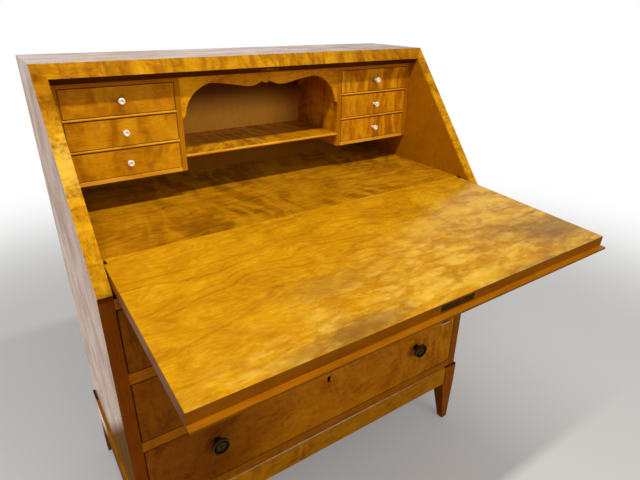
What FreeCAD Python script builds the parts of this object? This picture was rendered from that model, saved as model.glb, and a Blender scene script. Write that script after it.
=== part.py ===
import FreeCAD, Part
import math
import os

# Slant-front bureau: a case of three long drawers on a tapered-leg base, a pivoted fall
# and, behind it, a gallery with six small drawers, a shelf and a scalloped valance.
# Lengths are millimetres and angles degrees. X runs across, Y from front to back, Z up.
# Places below are measured from the drawer fronts (Y), the middle (X) and the floor (Z).

# Case
case_width = 900.0
case_depth = 454.0
case_height = 1054.0
side_thickness = 24.0
top_thickness = 22.0
back_thickness = 8.0
bottom_thickness = 20.0

# Slanted front of the upper case
slant_rise = 317.0
slant_setback = 255.0
lipping_thickness = 3.5
nose_round_share = 0.35
top_rail_face = 31.0
top_rail_thickness = 18.0
mitre_overrun_share = 0.5

# Base
base_height = 207.0
base_overhang = 5.0
apron_height = 60.0
apron_thickness = 22.0
leg_width = 44.0
foot_width = 19.0
foot_outer_taper = 3.0
corner_block_arm = 30.0
corner_block_height = 40.0

# Writing board and fall
board_rise = 29.0
board_thickness = 18.0
fall_thickness = 23.0
fall_outer_thickness = 13.0
fall_droop = 3.0
fall_end_gap = 1.8
fall_top_gap = 4.0
lip_thickness = 4.0
lip_reach = 11.0
lip_gap = 0.3
tail_radius = 39.0
tail_gap = 0.6
fall_rail_depth = 22.0
fall_rail_drop = 34.0

# Pivots of the fall, and the lugs that stop it where its notched tail comes up to them
pivot_radius = 4.0
pivot_length = 14.0
pivot_clearance = 0.05
bush_wall = 2.0
bush_end_gap = 1.0
plate_thickness = 3.0
plate_margin = 4.0
notch_width = 6.0
notch_length = 14.0
notch_setback = 20.5
notch_floor = 2.0
lug_length = 9.0
lug_height = 6.4
lug_setback = 3.5
lug_gap = 0.2

# Long drawers; the shares of the height for their openings run from the bottom one up
drawer_opening_shares = (0.368, 0.326, 0.306)
drawer_rail_height = 22.0
drawer_rail_depth = 60.0
drawer_front_thickness = 20.0
drawer_front_gap = 1.2
drawer_front_recess = 0.8
drawer_wall = 12.0
drawer_side_gap = 0.8
drawer_back_gap = 30.0
drawer_head_room = 12.0
drawer_back_drop = 8.0
drawer_bottom_thickness = 6.0
drawer_bottom_rise = 8.0
running_gap = 0.3
runner_width = 30.0
kicker_height = 10.0
stop_width = 36.0
stop_length = 18.0
stop_height = 6.0
stop_inset = 215.0

# Bronze pulls of the long drawers
pull_inset = 168.0
pull_drop = 54.0
pull_radius = 19.5
pull_length = 23.0

# Drawer locks
lock_width = 56.0
lock_height = 42.0
lock_depth = 10.0
selvage_thickness = 2.0
bolt_width = 18.0
bolt_thickness = 6.0
bolt_length = 18.0
bolt_travel = 7.0
bolt_gap = 0.3
mortise_gap = 0.5
keyhole_drop = 22.5
keyhole_radius = 4.7
keyhole_slot_width = 6.4
keyhole_slot_length = 13.5

# Lock of the fall
fall_lock_width = 60.0
fall_lock_depth = 58.0
fall_lock_thickness = 10.0
fall_lock_offset = 11.0
fall_selvage_width = 76.0
fall_selvage_height = 12.5
fall_bolt_width = 22.0
fall_bolt_length = 26.0
fall_bolt_travel = 10.0
fall_keyhole_setback = 32.0
strike_width = 42.0
strike_height = 10.0
strike_thickness = 1.5

# Gallery
gallery_gap = 1.6
gallery_height = 203.5
partition_thickness = 11.0
compartment_width = 389.0
nest_floor_thickness = 8.5
nest_ceiling_thickness = 8.0
nest_ceiling_drop = 14.0
divider_thickness = 5.0
shelf_rise = 33.5
shelf_thickness = 6.0
valance_thickness = 8.0
valance_recess = 1.0
valance_tip_drop = 96.0
valance_arch_drop = 28.7

# Small drawers
row_names = ("bottom", "middle", "top")
small_rows = len(row_names)
small_front_thickness = 10.0
small_front_gap = 0.6
small_front_recess = 0.5
small_wall = 6.0
small_side_gap = 0.5
small_back_gap = 3.0
small_head_room = 5.0
small_bottom_thickness = 4.0
small_bottom_rise = 3.0
knob_radius = 6.6
knob_length = 15.0
knob_crown = 1.6
knob_stem_radius = 3.4
knob_stem_length = 4.8
knob_dimple_radius = 2.4
knob_dimple_depth = 1.3

# Overrun of every cutting tool past the face that it opens
overrun = 2.0

# Lower edge of the valance from its middle to a partition, as three arcs that each have a
# start, a middle and an end: across to the partition, and up from the tips to the arches
valance_arc_shares = (
    ((0.046, 0.951), (0.130, 0.840), (0.257, 0.821)),
    ((0.257, 0.821), (0.450, 0.926), (0.638, 1.000)),
    ((0.638, 1.000), (0.850, 0.730), (0.963, 0.060)),
)
valance_middle_share = 0.885

# Bronze pull, from neck to dished face: radius and distance from the drawer front
pull_shares = (
    (0.40, 0.00), (0.40, 0.36), (1.00, 0.68), (1.00, 0.92), (0.93, 1.00), (0.83, 1.00),
    (0.75, 0.90), (0.48, 0.90), (0.42, 0.96), (0.00, 0.96),
)

# Sizes that follow from the ones above
half_width = case_width / 2
inner_half = half_width - side_thickness
back_face = case_depth - back_thickness
top_underside = case_height - top_thickness

slant_foot_height = case_height - slant_rise
slant_length = math.hypot(slant_setback, slant_rise)
slant_cos = slant_setback / slant_length
slant_sin = slant_rise / slant_length
nose_overhang = lipping_thickness / slant_sin
nose_height = slant_foot_height - nose_overhang * slant_rise / slant_setback
rail_foot = slant_length - top_rail_face

fall_half = inner_half - fall_end_gap
fall_inner_thickness = fall_thickness - fall_outer_thickness
lip_top = lip_thickness - fall_outer_thickness
fall_edge_middle = (fall_inner_thickness + lip_top) / 2
tail_inner = math.sqrt(tail_radius ** 2 - fall_inner_thickness ** 2)
tail_outer = math.sqrt(tail_radius ** 2 - fall_outer_thickness ** 2)
cove_radius = tail_radius + tail_gap
droop_cos = math.cos(math.radians(fall_droop))
droop_sin = math.sin(math.radians(fall_droop))
board_height = slant_foot_height + board_rise
pivot_z = board_height - fall_inner_thickness * droop_cos - tail_inner * droop_sin
pivot_inset = fall_outer_thickness - lip_thickness - lip_gap
pivot_y = (slant_cos * (pivot_z - slant_foot_height) + pivot_inset) / slant_sin
pivot_along = slant_cos * pivot_y + slant_sin * (pivot_z - slant_foot_height)
fall_reach = rail_foot - fall_top_gap - pivot_along
bush_radius = pivot_radius + pivot_clearance + bush_wall
bush_length = pivot_length + bush_end_gap
strike_inset = pivot_inset + fall_edge_middle

base_half = half_width + base_overhang
apron_foot = base_height - apron_height
case_floor = base_height + bottom_thickness
fall_rail_z = slant_foot_height - fall_rail_drop
drawer_space = fall_rail_z - case_floor - 2 * drawer_rail_height
bottom_opening, middle_opening, top_opening = [share * drawer_space for share in drawer_opening_shares]
lower_rail_z = case_floor + bottom_opening
middle_floor = lower_rail_z + drawer_rail_height
upper_rail_z = middle_floor + middle_opening
top_floor = upper_rail_z + drawer_rail_height
drawer_front_back = drawer_front_recess + drawer_front_thickness
bolt_y = drawer_front_back - lock_depth / 2

gallery_front = (top_underside - slant_foot_height) * slant_setback / slant_rise
gallery_front += top_rail_thickness / slant_sin + gallery_gap
compartment_half = compartment_width / 2
nest_inner = compartment_half + partition_thickness
nest_outer = inner_half - partition_thickness
gallery_floor_height = top_underside - gallery_height
shelf_height = gallery_floor_height + shelf_rise
nest_floor = gallery_floor_height + nest_floor_thickness
nest_ceiling = top_underside - nest_ceiling_drop - nest_ceiling_thickness
small_pitch = (nest_ceiling - nest_floor + divider_thickness) / small_rows
small_opening = small_pitch - divider_thickness

# The origin lies on the floor, midway between the lip of the open fall and the back
front_reach = pivot_y - (fall_reach + lip_reach) * droop_cos - lip_top * droop_sin
origin_y = (front_reach + case_depth) / 2


def vec(x, y, z):
    return FreeCAD.Vector(x, y, z)


def block(x0, x1, y0, y1, z0, z1):
    return Part.makeBox(x1 - x0, y1 - y0, z1 - z0, vec(x0, y0, z0))


def edge(points):
    """A line through two points or an arc through three."""
    return Part.Arc(*points).toShape() if len(points) == 3 else Part.makeLine(*points)


def across(runs, x0, x1):
    """Solid of an outline of lines and arcs in (Y, Z), drawn out across X."""
    edges = [edge([vec(x0, y, z) for y, z in run]) for run in runs]
    return Part.Face(Part.Wire(edges)).extrude(vec(x1 - x0, 0, 0))


def sides_of(points):
    """The lines round a closed outline."""
    return list(zip(points, points[1:] + points[:1]))


def lathe(runs, centre):
    """Solid turned about an axis along Y, from runs of (radius, distance to the front)."""
    edges = [edge([vec(radius, -out, 0) for radius, out in run]) for run in runs]
    first = edges[0].firstVertex(True).Point
    last = edges[-1].lastVertex(True).Point
    edges.append(Part.makeLine(last, vec(0, 0, 0)))
    edges.append(Part.makeLine(vec(0, 0, 0), first))
    face = Part.Face(Part.Wire(edges))
    return face.revolve(vec(0, 0, 0), vec(0, 1, 0), 360).translated(centre)


def flat_sided(rings):
    """Solid with flat faces between rings of corners, closed at both ends."""
    faces = [rings[0], rings[-1]]
    for upper, lower in zip(rings, rings[1:]):
        for (a, b), (c, d) in zip(sides_of(upper), sides_of(lower)):
            faces.append([a, b, d, c])
    shell = Part.makeShell([Part.Face(Part.makePolygon(corners + corners[:1])) for corners in faces])
    shell.sewShape()
    return Part.makeSolid(shell)


def single(shape):
    """The one solid that a cut or a joint leaves, with no seams in its flat faces."""
    return shape.removeSplitter().Solids[0]


def mirrored(shape):
    return shape.mirror(vec(0, 0, 0), vec(1, 0, 0))


def slant(along, outward):
    """(Y, Z) of a point up the slanted front from its foot, and out of its plane."""
    return (along * slant_cos - outward * slant_sin,
            slant_foot_height + along * slant_sin + outward * slant_cos)


def slant_at(height, outward):
    """(Y, Z) where a line parallel to the slanted front reaches a height."""
    return (height - slant_foot_height) * slant_setback / slant_rise - outward / slant_sin, height


def below_pivot(y):
    """(Y, Z) on the lower half of the cove that the tail of the fall swings in."""
    return y, pivot_z - math.sqrt(cove_radius ** 2 - (y - pivot_y) ** 2)


def behind_pivot(z):
    """(Y, Z) on the rear half of the same cove."""
    return pivot_y + math.sqrt(cove_radius ** 2 - (z - pivot_z) ** 2), z


def drooped(shape):
    """Turns a piece that is drawn on the level fall to the fall's true rest."""
    return shape.rotated(vec(0, pivot_y, pivot_z), vec(1, 0, 0), fall_droop)


def fall_block(x0, x1, u0, u1, w0, w1):
    """Block on the fall: u forward from the pivot, w from the pivot to the inner face."""
    return drooped(block(x0, x1, pivot_y - u1, pivot_y - u0, pivot_z + w0, pivot_z + w1))


def fall_pin(radius, x0, x1):
    """Round bar across X on the axis of the pivots."""
    return Part.makeCylinder(radius, x1 - x0, vec(x0, pivot_y, pivot_z), vec(1, 0, 0))


def save(node, *solids):
    shape = solids[0] if len(solids) == 1 else Part.makeCompound(solids)
    shape.translated(vec(0, -origin_y, 0)).exportStep("parts/%s.step" % node)


def save_pair(stem, right):
    save(stem + "_right", right)
    save(stem + "_left", mirrored(right))


def top_mitre(keep_side):
    """Wedge that the mitre between a side and the top takes from one of the two."""
    removed_x, removed_z = (inner_half, case_height) if keep_side else (half_width, top_underside)
    corners = [
        vec(inner_half, 0, top_underside), vec(half_width, 0, case_height),
        vec(removed_x, 0, removed_z), vec(inner_half, 0, top_underside),
    ]
    return Part.Face(Part.makePolygon(corners)).extrude(vec(0, case_depth, 0))


def pivot_plate_blank():
    """Plate let into the right side, cut back where the slanted front passes it."""
    plate = fall_block(
        inner_half, inner_half + plate_thickness,
        -notch_setback - notch_length - plate_margin, bush_radius + plate_margin,
        -bush_radius - plate_margin, fall_inner_thickness - lug_gap,
    )
    front = slant(0, -lipping_thickness)
    rear = slant(slant_length, -lipping_thickness)
    wedge = across(sides_of([front, rear, (front[0], rear[1])]), inner_half, half_width)
    return plate.cut(wedge)


def make_side():
    """Right side: upright front edge, slanted edge under the lipping, mitred top end."""
    outline = [
        (0, base_height), (0, nose_height), slant_at(case_height, -lipping_thickness),
        (case_depth, case_height), (case_depth, base_height),
    ]
    board = across(sides_of(outline), inner_half, half_width)
    return single(board.cut(top_mitre(True)).cut(pivot_plate_blank()))


def make_slant_lipping():
    """Strip on the right side's slanted edge, its nose rounded and its top end mitred."""
    outline = [
        (0, nose_height), (-nose_overhang, nose_height),
        (slant_setback, case_height), slant_at(case_height, -lipping_thickness),
    ]
    strip = across(sides_of(outline), inner_half, half_width)
    nose = [e for e in strip.Edges if e.BoundBox.YMax < 0]
    strip = strip.makeFillet(nose_round_share * lipping_thickness, nose)
    extra_x = mitre_overrun_share * side_thickness
    extra_along = mitre_overrun_share * top_rail_face
    places = [
        (inner_half - extra_x, rail_foot - extra_along),
        (half_width + extra_x, slant_length + extra_along),
        (inner_half - extra_x, slant_length + extra_along),
    ]
    corners = [vec(x, *slant(along, -lipping_thickness - overrun)) for x, along in places]
    depth = lipping_thickness + 2 * overrun
    tool = Part.Face(Part.makePolygon(corners + corners[:1]))
    tool = tool.extrude(vec(0, -depth * slant_sin, depth * slant_cos))
    return single(strip.cut(tool))


def make_top_rail(lipping):
    """Rail under the front of the top: its slanted face runs out to the mitres."""
    face = [
        slant(rail_foot, 0), slant(slant_length, 0),
        slant_at(case_height, -lipping_thickness), slant(rail_foot, -lipping_thickness),
    ]
    body = [
        slant(rail_foot, -lipping_thickness), slant_at(top_underside, -lipping_thickness),
        slant_at(top_underside, -top_rail_thickness), slant(rail_foot, -top_rail_thickness),
    ]
    layer = across(sides_of(face), -half_width, half_width)
    layer = layer.cut(lipping).cut(mirrored(lipping))
    rail = layer.fuse(across(sides_of(body), -inner_half, inner_half))
    mortise = strike_slot(fall_bolt_travel - fall_top_gap + mortise_gap)
    return single(rail.cut(strike_blank()).cut(mortise))


def strike_block(half_x, half_w, depth):
    """Block let into the lower face of the top rail, opposite the bolt of the fall."""
    near = half_w - strike_inset
    far = -half_w - strike_inset
    outline = [
        slant(rail_foot, near), slant(rail_foot + depth, near),
        slant(rail_foot + depth, far), slant(rail_foot, far),
    ]
    return across(sides_of(outline), -half_x, half_x)


def strike_blank():
    return strike_block(strike_width / 2, strike_height / 2, strike_thickness)


def strike_slot(depth):
    return strike_block(fall_bolt_width / 2 + mortise_gap, bolt_thickness / 2 + mortise_gap, depth)


def make_strike_plate():
    return single(strike_blank().cut(strike_slot(strike_thickness)))


def make_top_panel():
    """Top board, its front edge bevelled to the slant and its ends mitred to the sides."""
    outline = [
        slant_at(top_underside, -lipping_thickness), slant_at(case_height, -lipping_thickness),
        (case_depth, case_height), (case_depth, top_underside),
    ]
    wedge = top_mitre(False)
    return single(across(sides_of(outline), -half_width, half_width).cut(wedge).cut(mirrored(wedge)))


def make_back_panel():
    return block(-inner_half, inner_half, back_face, case_depth, base_height, top_underside)


def make_bottom_board():
    return block(-inner_half, inner_half, 0, back_face, base_height, case_floor)


def make_writing_board():
    """Fixed board; its hollow front edge follows the rounded tail of the fall."""
    underside = board_height - board_thickness
    front_top = behind_pivot(board_height)
    front_foot = behind_pivot(underside)
    runs = [
        (front_foot, behind_pivot(board_height - board_thickness / 2), front_top),
        (front_top, (back_face, board_height)),
        ((back_face, board_height), (back_face, underside)),
        ((back_face, underside), front_foot),
    ]
    return across(runs, -inner_half, inner_half)


def bolt_mortise(rail_z):
    """Hole in the underside of a rail for the bolt of the drawer below it."""
    half_x = bolt_width / 2 + mortise_gap
    half_y = bolt_thickness / 2 + mortise_gap
    return block(-half_x, half_x, bolt_y - half_y, bolt_y + half_y, rail_z, rail_z + bolt_travel)


def make_fall_rail():
    """Rail over the top drawer, hollowed for the tail of the fall to swing through."""
    rear_top = below_pivot(fall_rail_depth)
    front_top = below_pivot(0)
    runs = [
        ((0, fall_rail_z), (fall_rail_depth, fall_rail_z)),
        ((fall_rail_depth, fall_rail_z), rear_top),
        (rear_top, below_pivot(fall_rail_depth / 2), front_top),
        (front_top, (0, fall_rail_z)),
    ]
    return single(across(runs, -inner_half, inner_half).cut(bolt_mortise(fall_rail_z)))


def make_drawer_rail(rail_z):
    rail = block(-inner_half, inner_half, 0, drawer_rail_depth, rail_z, rail_z + drawer_rail_height)
    return single(rail.cut(bolt_mortise(rail_z)))


def make_drawer_runners():
    """Runners behind the two drawer rails, and kickers over the top drawer."""
    wide = inner_half - runner_width
    kicker_front = pivot_y + cove_radius
    right = [
        block(wide, inner_half, drawer_rail_depth, back_face, z, z + drawer_rail_height)
        for z in (lower_rail_z, upper_rail_z)
    ]
    kicker_top = fall_rail_z + kicker_height
    right.append(block(wide, inner_half, kicker_front, back_face, fall_rail_z, kicker_top))
    return right + [mirrored(strip) for strip in right]


def make_drawer_stops():
    """Two blocks behind the foot of each long drawer front."""
    x = inner_half - stop_inset
    y = drawer_front_back + running_gap
    right = [
        block(x - stop_width / 2, x + stop_width / 2, y, y + stop_length, z, z + stop_height)
        for z in (case_floor, middle_floor, top_floor)
    ]
    return right + [mirrored(stop) for stop in right]


def make_fall_panel(lock_outer):
    """Fall: rounded tail, lip along its outer front edge, seats for bushes, lugs and lock."""
    inner = pivot_z + fall_inner_thickness
    outer = pivot_z - fall_outer_thickness
    front = pivot_y - fall_reach
    lip_front = front - lip_reach
    lip_z = pivot_z + lip_top
    tail_top = (pivot_y + tail_inner, inner)
    tail_foot = (pivot_y + tail_outer, outer)
    runs = [
        (tail_foot, (pivot_y + tail_radius, pivot_z), tail_top),
        (tail_top, (front, inner)),
        ((front, inner), (front, lip_z)),
        ((front, lip_z), (lip_front, lip_z)),
        ((lip_front, lip_z), (lip_front, outer)),
        ((lip_front, outer), tail_foot),
    ]
    panel = drooped(across(runs, -fall_half, fall_half))
    bore = fall_pin(bush_radius, fall_half - bush_length, fall_half)
    notch = fall_block(
        fall_half - notch_width, fall_half, -notch_setback - notch_length, -notch_setback,
        notch_floor, fall_inner_thickness,
    )
    for seat in (bore, notch):
        panel = panel.cut(seat).cut(mirrored(seat))
    return single(panel.cut(lock_outer).cut(fall_keyhole()))


def fall_keyhole():
    """Keyhole in the outer face of the fall, its slot towards the pivots."""
    y = pivot_y - fall_reach + fall_keyhole_setback
    foot = pivot_z - fall_outer_thickness
    depth = fall_outer_thickness + fall_edge_middle - fall_lock_thickness / 2
    hole = Part.makeCylinder(keyhole_radius, depth, vec(0, y, foot))
    half = keyhole_slot_width / 2
    slot = block(-half, half, y, y + keyhole_slot_length, foot, foot + depth)
    return drooped(hole.fuse(slot))


def fall_lock_outer():
    """Case of the fall's lock and the selvage plate flush with the fall's front edge."""
    def piece(width, depth, height):
        x = fall_lock_offset - width / 2
        w = fall_edge_middle - height / 2
        return fall_block(x, x + width, fall_reach - depth, fall_reach, w, w + height)

    case = piece(fall_lock_width, fall_lock_depth, fall_lock_thickness)
    return single(case.fuse(piece(fall_selvage_width, selvage_thickness, fall_selvage_height)))


def fall_bolt_block(gap):
    """The bolt of the fall, or with a gap the slot that it runs in."""
    half_x = fall_bolt_width / 2 + gap
    half_w = bolt_thickness / 2 + gap
    front = fall_reach + (overrun if gap else 0)
    return fall_block(
        -half_x, half_x, fall_reach - fall_bolt_length - gap, front,
        fall_edge_middle - half_w, fall_edge_middle + half_w,
    )


def make_pivot_plate():
    """Right plate with the pin that the fall turns on and the lug that stops its tail."""
    inner = fall_half - notch_width + lug_gap
    lug = fall_block(
        inner, inner_half, -notch_setback - lug_setback - lug_length, -notch_setback - lug_setback,
        notch_floor + lug_gap, notch_floor + lug_gap + lug_height,
    )
    pin = fall_pin(pivot_radius, fall_half - pivot_length, inner_half)
    return single(pivot_plate_blank().fuse(lug).fuse(pin))


def make_pivot_bush():
    inner_end = fall_half - bush_length
    sleeve = fall_pin(bush_radius, inner_end, fall_half)
    return single(sleeve.cut(fall_pin(pivot_radius + pivot_clearance, inner_end, fall_half)))


def make_long_drawer(floor, opening):
    """Front, box, pulls, lock and bolt of one long drawer, by the floor of its opening."""
    top = floor + opening - drawer_front_gap
    half_front = inner_half - drawer_front_gap
    half_lock = lock_width / 2
    lock_y = drawer_front_back - lock_depth
    lock = block(-half_lock, half_lock, lock_y, drawer_front_back, top - lock_height, top)
    selvage_y = lock_y - selvage_thickness
    selvage = block(-half_lock, half_lock, selvage_y, drawer_front_back, top - selvage_thickness, top)
    lock = lock.fuse(selvage)
    front = block(
        -half_front, half_front, drawer_front_recess, drawer_front_back, floor + drawer_front_gap, top)
    front = front.cut(lock).cut(drawer_keyhole(top))
    slot = drawer_bolt_block(top, bolt_gap)
    bolt = drawer_bolt_block(top, 0)

    outer = inner_half - drawer_side_gap
    inner = outer - drawer_wall
    rear = back_face - drawer_back_gap
    foot = floor + running_gap
    side_top = floor + opening - drawer_head_room
    panel_foot = foot + drawer_bottom_rise
    panel_top = panel_foot + drawer_bottom_thickness
    side = block(inner, outer, drawer_front_back, rear, foot, side_top)
    back = block(-inner, inner, rear - drawer_wall, rear, panel_top, side_top - drawer_back_drop)
    panel = block(-inner, inner, drawer_front_back, rear, panel_foot, panel_top)

    profile = [(radius * pull_radius, out * pull_length) for radius, out in pull_shares]
    place = vec(half_width - pull_inset, drawer_front_recess, floor + opening - pull_drop)
    pull = lathe(list(zip(profile, profile[1:])), place)
    return {
        "front": [single(front)],
        "box": [side, mirrored(side), back, panel],
        "pulls": [pull, mirrored(pull)],
        "lock": [single(lock.cut(slot))],
        "bolt": [bolt],
    }


def drawer_keyhole(top):
    """Keyhole through a long drawer front to its lock."""
    y = drawer_front_recess
    z = top - keyhole_drop
    depth = drawer_front_thickness - lock_depth
    hole = Part.makeCylinder(keyhole_radius, depth, vec(0, y, z), vec(0, 1, 0))
    half = keyhole_slot_width / 2
    return hole.fuse(block(-half, half, y, y + depth, z - keyhole_slot_length, z))


def drawer_bolt_block(top, gap):
    """The bolt of a long drawer's lock, or with a gap the slot that it runs in."""
    half_x = bolt_width / 2 + gap
    half_y = bolt_thickness / 2 + gap
    end = top + (overrun if gap else 0)
    return block(-half_x, half_x, bolt_y - half_y, bolt_y + half_y, top - bolt_length - gap, end)


def make_small_drawer(floor):
    """Front, sides, back and bottom of one small drawer of the right nest."""
    front_face = gallery_front + small_front_recess
    front_back = front_face + small_front_thickness
    rear = back_face - small_back_gap
    left = nest_inner + small_side_gap
    right = nest_outer - small_side_gap
    foot = floor + running_gap
    side_top = floor + small_opening - small_head_room
    panel_foot = foot + small_bottom_rise
    panel_top = panel_foot + small_bottom_thickness
    front = block(
        nest_inner + small_front_gap, nest_outer - small_front_gap, front_face, front_back,
        floor + small_front_gap, floor + small_opening - small_front_gap,
    )
    return [
        front,
        block(left, left + small_wall, front_back, rear, foot, side_top),
        block(right - small_wall, right, front_back, rear, foot, side_top),
        block(left + small_wall, right - small_wall, rear - small_wall, rear, panel_top, side_top),
        block(left + small_wall, right - small_wall, front_back, rear, panel_foot, panel_top),
    ]


def make_small_knob(floor):
    """Turned knob of one small drawer: stem, barrel, sloped crown and dimpled face."""
    dimple_floor = knob_length - knob_dimple_depth
    profile = [
        (knob_stem_radius, 0), (knob_stem_radius, knob_stem_length), (knob_radius, knob_stem_length),
        (knob_radius, knob_length - knob_crown), (knob_radius - knob_crown, knob_length),
        (knob_dimple_radius, knob_length), (knob_dimple_radius, dimple_floor), (0, dimple_floor),
    ]
    runs = list(zip(profile, profile[1:]))
    middle = (nest_inner + nest_outer) / 2
    return lathe(runs, vec(middle, gallery_front + small_front_recess, floor + small_opening / 2))


def make_partitions():
    """Uprights of the gallery, hung under the top: a pair each side of the small drawers."""
    right = [
        block(x, x + partition_thickness, gallery_front, back_face, gallery_floor_height, top_underside)
        for x in (compartment_half, nest_outer)
    ]
    return right + [mirrored(board) for board in right]


def nest_board(foot, thickness):
    right = block(nest_inner, nest_outer, gallery_front, back_face, foot, foot + thickness)
    return [right, mirrored(right)]


def nosed_board(x0, x1, foot, thickness):
    """Gallery board with a half-round front edge."""
    radius = thickness / 2
    straight = gallery_front + radius
    runs = [
        ((straight, foot + thickness), (gallery_front, foot + radius), (straight, foot)),
        ((straight, foot), (back_face, foot)),
        ((back_face, foot), (back_face, foot + thickness)),
        ((back_face, foot + thickness), (straight, foot + thickness)),
    ]
    return across(runs, x0, x1)


def make_dividers():
    feet = [nest_floor + row * small_pitch - divider_thickness for row in range(1, small_rows)]
    right = [nosed_board(nest_inner, nest_outer, foot, divider_thickness) for foot in feet]
    return right + [mirrored(board) for board in right]


def make_valance():
    """Thin board whose lower edge is two arches that meet in a small middle scallop."""
    y = gallery_front + valance_recess
    tip = top_underside - valance_tip_drop
    rise = valance_tip_drop - valance_arch_drop

    def at(across_share, up_share):
        return vec(across_share * compartment_half, y, tip + up_share * rise)

    right = [[at(*share) for share in arc] for arc in valance_arc_shares]
    left = [[at(-a, b) for a, b in arc[::-1]] for arc in valance_arc_shares[::-1]]
    top_left = vec(-compartment_half, y, top_underside)
    top_right = vec(compartment_half, y, top_underside)
    runs = [(top_left, at(-1, 0)), (at(-1, 0), left[0][0]), *left]
    runs += [(left[-1][-1], at(0, valance_middle_share), right[0][0]), *right]
    runs += [(right[-1][-1], at(1, 0)), (at(1, 0), top_right), (top_right, top_left)]
    return Part.Face(Part.Wire([edge(run) for run in runs])).extrude(vec(0, valance_thickness, 0))


def make_leg(outer_y, inward):
    """Right leg: square beside the aprons, tapered below, mostly on its inner faces."""
    def square(width, inset, z):
        x1 = base_half - inset
        y1 = outer_y + inward * inset
        x0 = x1 - width
        y0 = y1 + inward * width
        return [vec(x1, y1, z), vec(x0, y1, z), vec(x0, y0, z), vec(x1, y0, z)]

    top = square(leg_width, 0, base_height)
    knee = square(leg_width, 0, apron_foot)
    foot = square(foot_width, foot_outer_taper, 0)
    return flat_sided([top, knee, foot])


def make_corner_block(outer_y, inward):
    """Right corner block, glued to the leg and to the two aprons that meet in it."""
    leg_x = base_half - leg_width
    apron_x = base_half - apron_thickness
    leg_y = outer_y + inward * leg_width
    apron_y = outer_y + inward * apron_thickness
    foot = base_height - corner_block_height
    places = [
        (leg_x - corner_block_arm, apron_y), (leg_x, apron_y), (leg_x, leg_y),
        (apron_x, leg_y), (apron_x, leg_y + inward * corner_block_arm),
    ]
    corners = [vec(x, y, foot) for x, y in places]
    return Part.Face(Part.makePolygon(corners + corners[:1])).extrude(vec(0, 0, corner_block_height))


def make_cross_apron(outer_y, inward):
    half = base_half - leg_width
    y = sorted((outer_y, outer_y + inward * apron_thickness))
    return block(-half, half, y[0], y[1], apron_foot, base_height)


def make_side_apron():
    return block(
        base_half - apron_thickness, base_half, leg_width - base_overhang, case_depth - leg_width,
        apron_foot, base_height,
    )


def build_case():
    lipping = make_slant_lipping()
    save_pair("side", make_side())
    save_pair("slant_lipping", lipping)
    save("top_panel", make_top_panel())
    save("top_rail", make_top_rail(lipping))
    save("strike_plate", make_strike_plate())
    save("back_panel", make_back_panel())
    save("bottom_board", make_bottom_board())
    save("writing_board", make_writing_board())
    save("fall_rail", make_fall_rail())
    save("drawer_rail_upper", make_drawer_rail(upper_rail_z))
    save("drawer_rail_lower", make_drawer_rail(lower_rail_z))
    save("drawer_runners", *make_drawer_runners())
    save("drawer_stops", *make_drawer_stops())
    plate = make_pivot_plate()
    save("pivot_plates", plate, mirrored(plate))


def build_base():
    front = (-base_overhang, 1)
    back = (case_depth, -1)
    for name, place in (("front", front), ("back", back)):
        leg = make_leg(*place)
        save("legs_" + name, leg, mirrored(leg))
        save("apron_" + name, make_cross_apron(*place))
    side = make_side_apron()
    save("aprons_side", side, mirrored(side))
    corners = [make_corner_block(*place) for place in (front, back)]
    save("corner_blocks", *corners, *[mirrored(corner) for corner in corners])


def build_fall():
    outer = fall_lock_outer()
    save("fall_panel", make_fall_panel(outer))
    save("fall_lock", single(outer.cut(fall_bolt_block(bolt_gap))))
    save("fall_bolt", fall_bolt_block(0))
    bush = make_pivot_bush()
    save("pivot_bushes", bush, mirrored(bush))


def build_long_drawers():
    drawers = (
        ("top", top_floor, top_opening),
        ("middle", middle_floor, middle_opening),
        ("bottom", case_floor, bottom_opening),
    )
    for name, floor, opening in drawers:
        for piece, solids in make_long_drawer(floor, opening).items():
            save("%s_drawer_%s" % (name, piece), *solids)


def build_gallery():
    save("gallery_partitions", *make_partitions())
    save("gallery_floors", *nest_board(gallery_floor_height, nest_floor_thickness))
    save("gallery_ceilings", *nest_board(nest_ceiling, nest_ceiling_thickness))
    save("gallery_dividers", *make_dividers())
    save("gallery_shelf", nosed_board(
        -compartment_half, compartment_half, shelf_height - shelf_thickness, shelf_thickness))
    save("valance", make_valance())
    for row, name in enumerate(row_names):
        floor = nest_floor + row * small_pitch
        drawer = make_small_drawer(floor)
        knob = make_small_knob(floor)
        save("small_drawer_right_" + name, *drawer)
        save("small_drawer_left_" + name, *[mirrored(wall) for wall in drawer])
        save("small_knob_right_" + name, knob)
        save("small_knob_left_" + name, mirrored(knob))


os.makedirs("parts", exist_ok=True)
build_case()
build_base()
build_fall()
build_long_drawers()
build_gallery()
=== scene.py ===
# %% [markdown]
# # A slant-front bureau in flame birch
# The bureau stands with its fall let down, so that the gallery and the writing surface show.
# Every board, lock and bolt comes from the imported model, which is loaded here as a fixed frame.
# This script gives those boards their veneer, turns the bronze pulls and the cream knobs, drives
# the screws, and sets up the floor, the light and the camera.

# %% Load the frame
import math
import bpy
import numpy as np
from mathutils import Matrix, Vector


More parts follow.
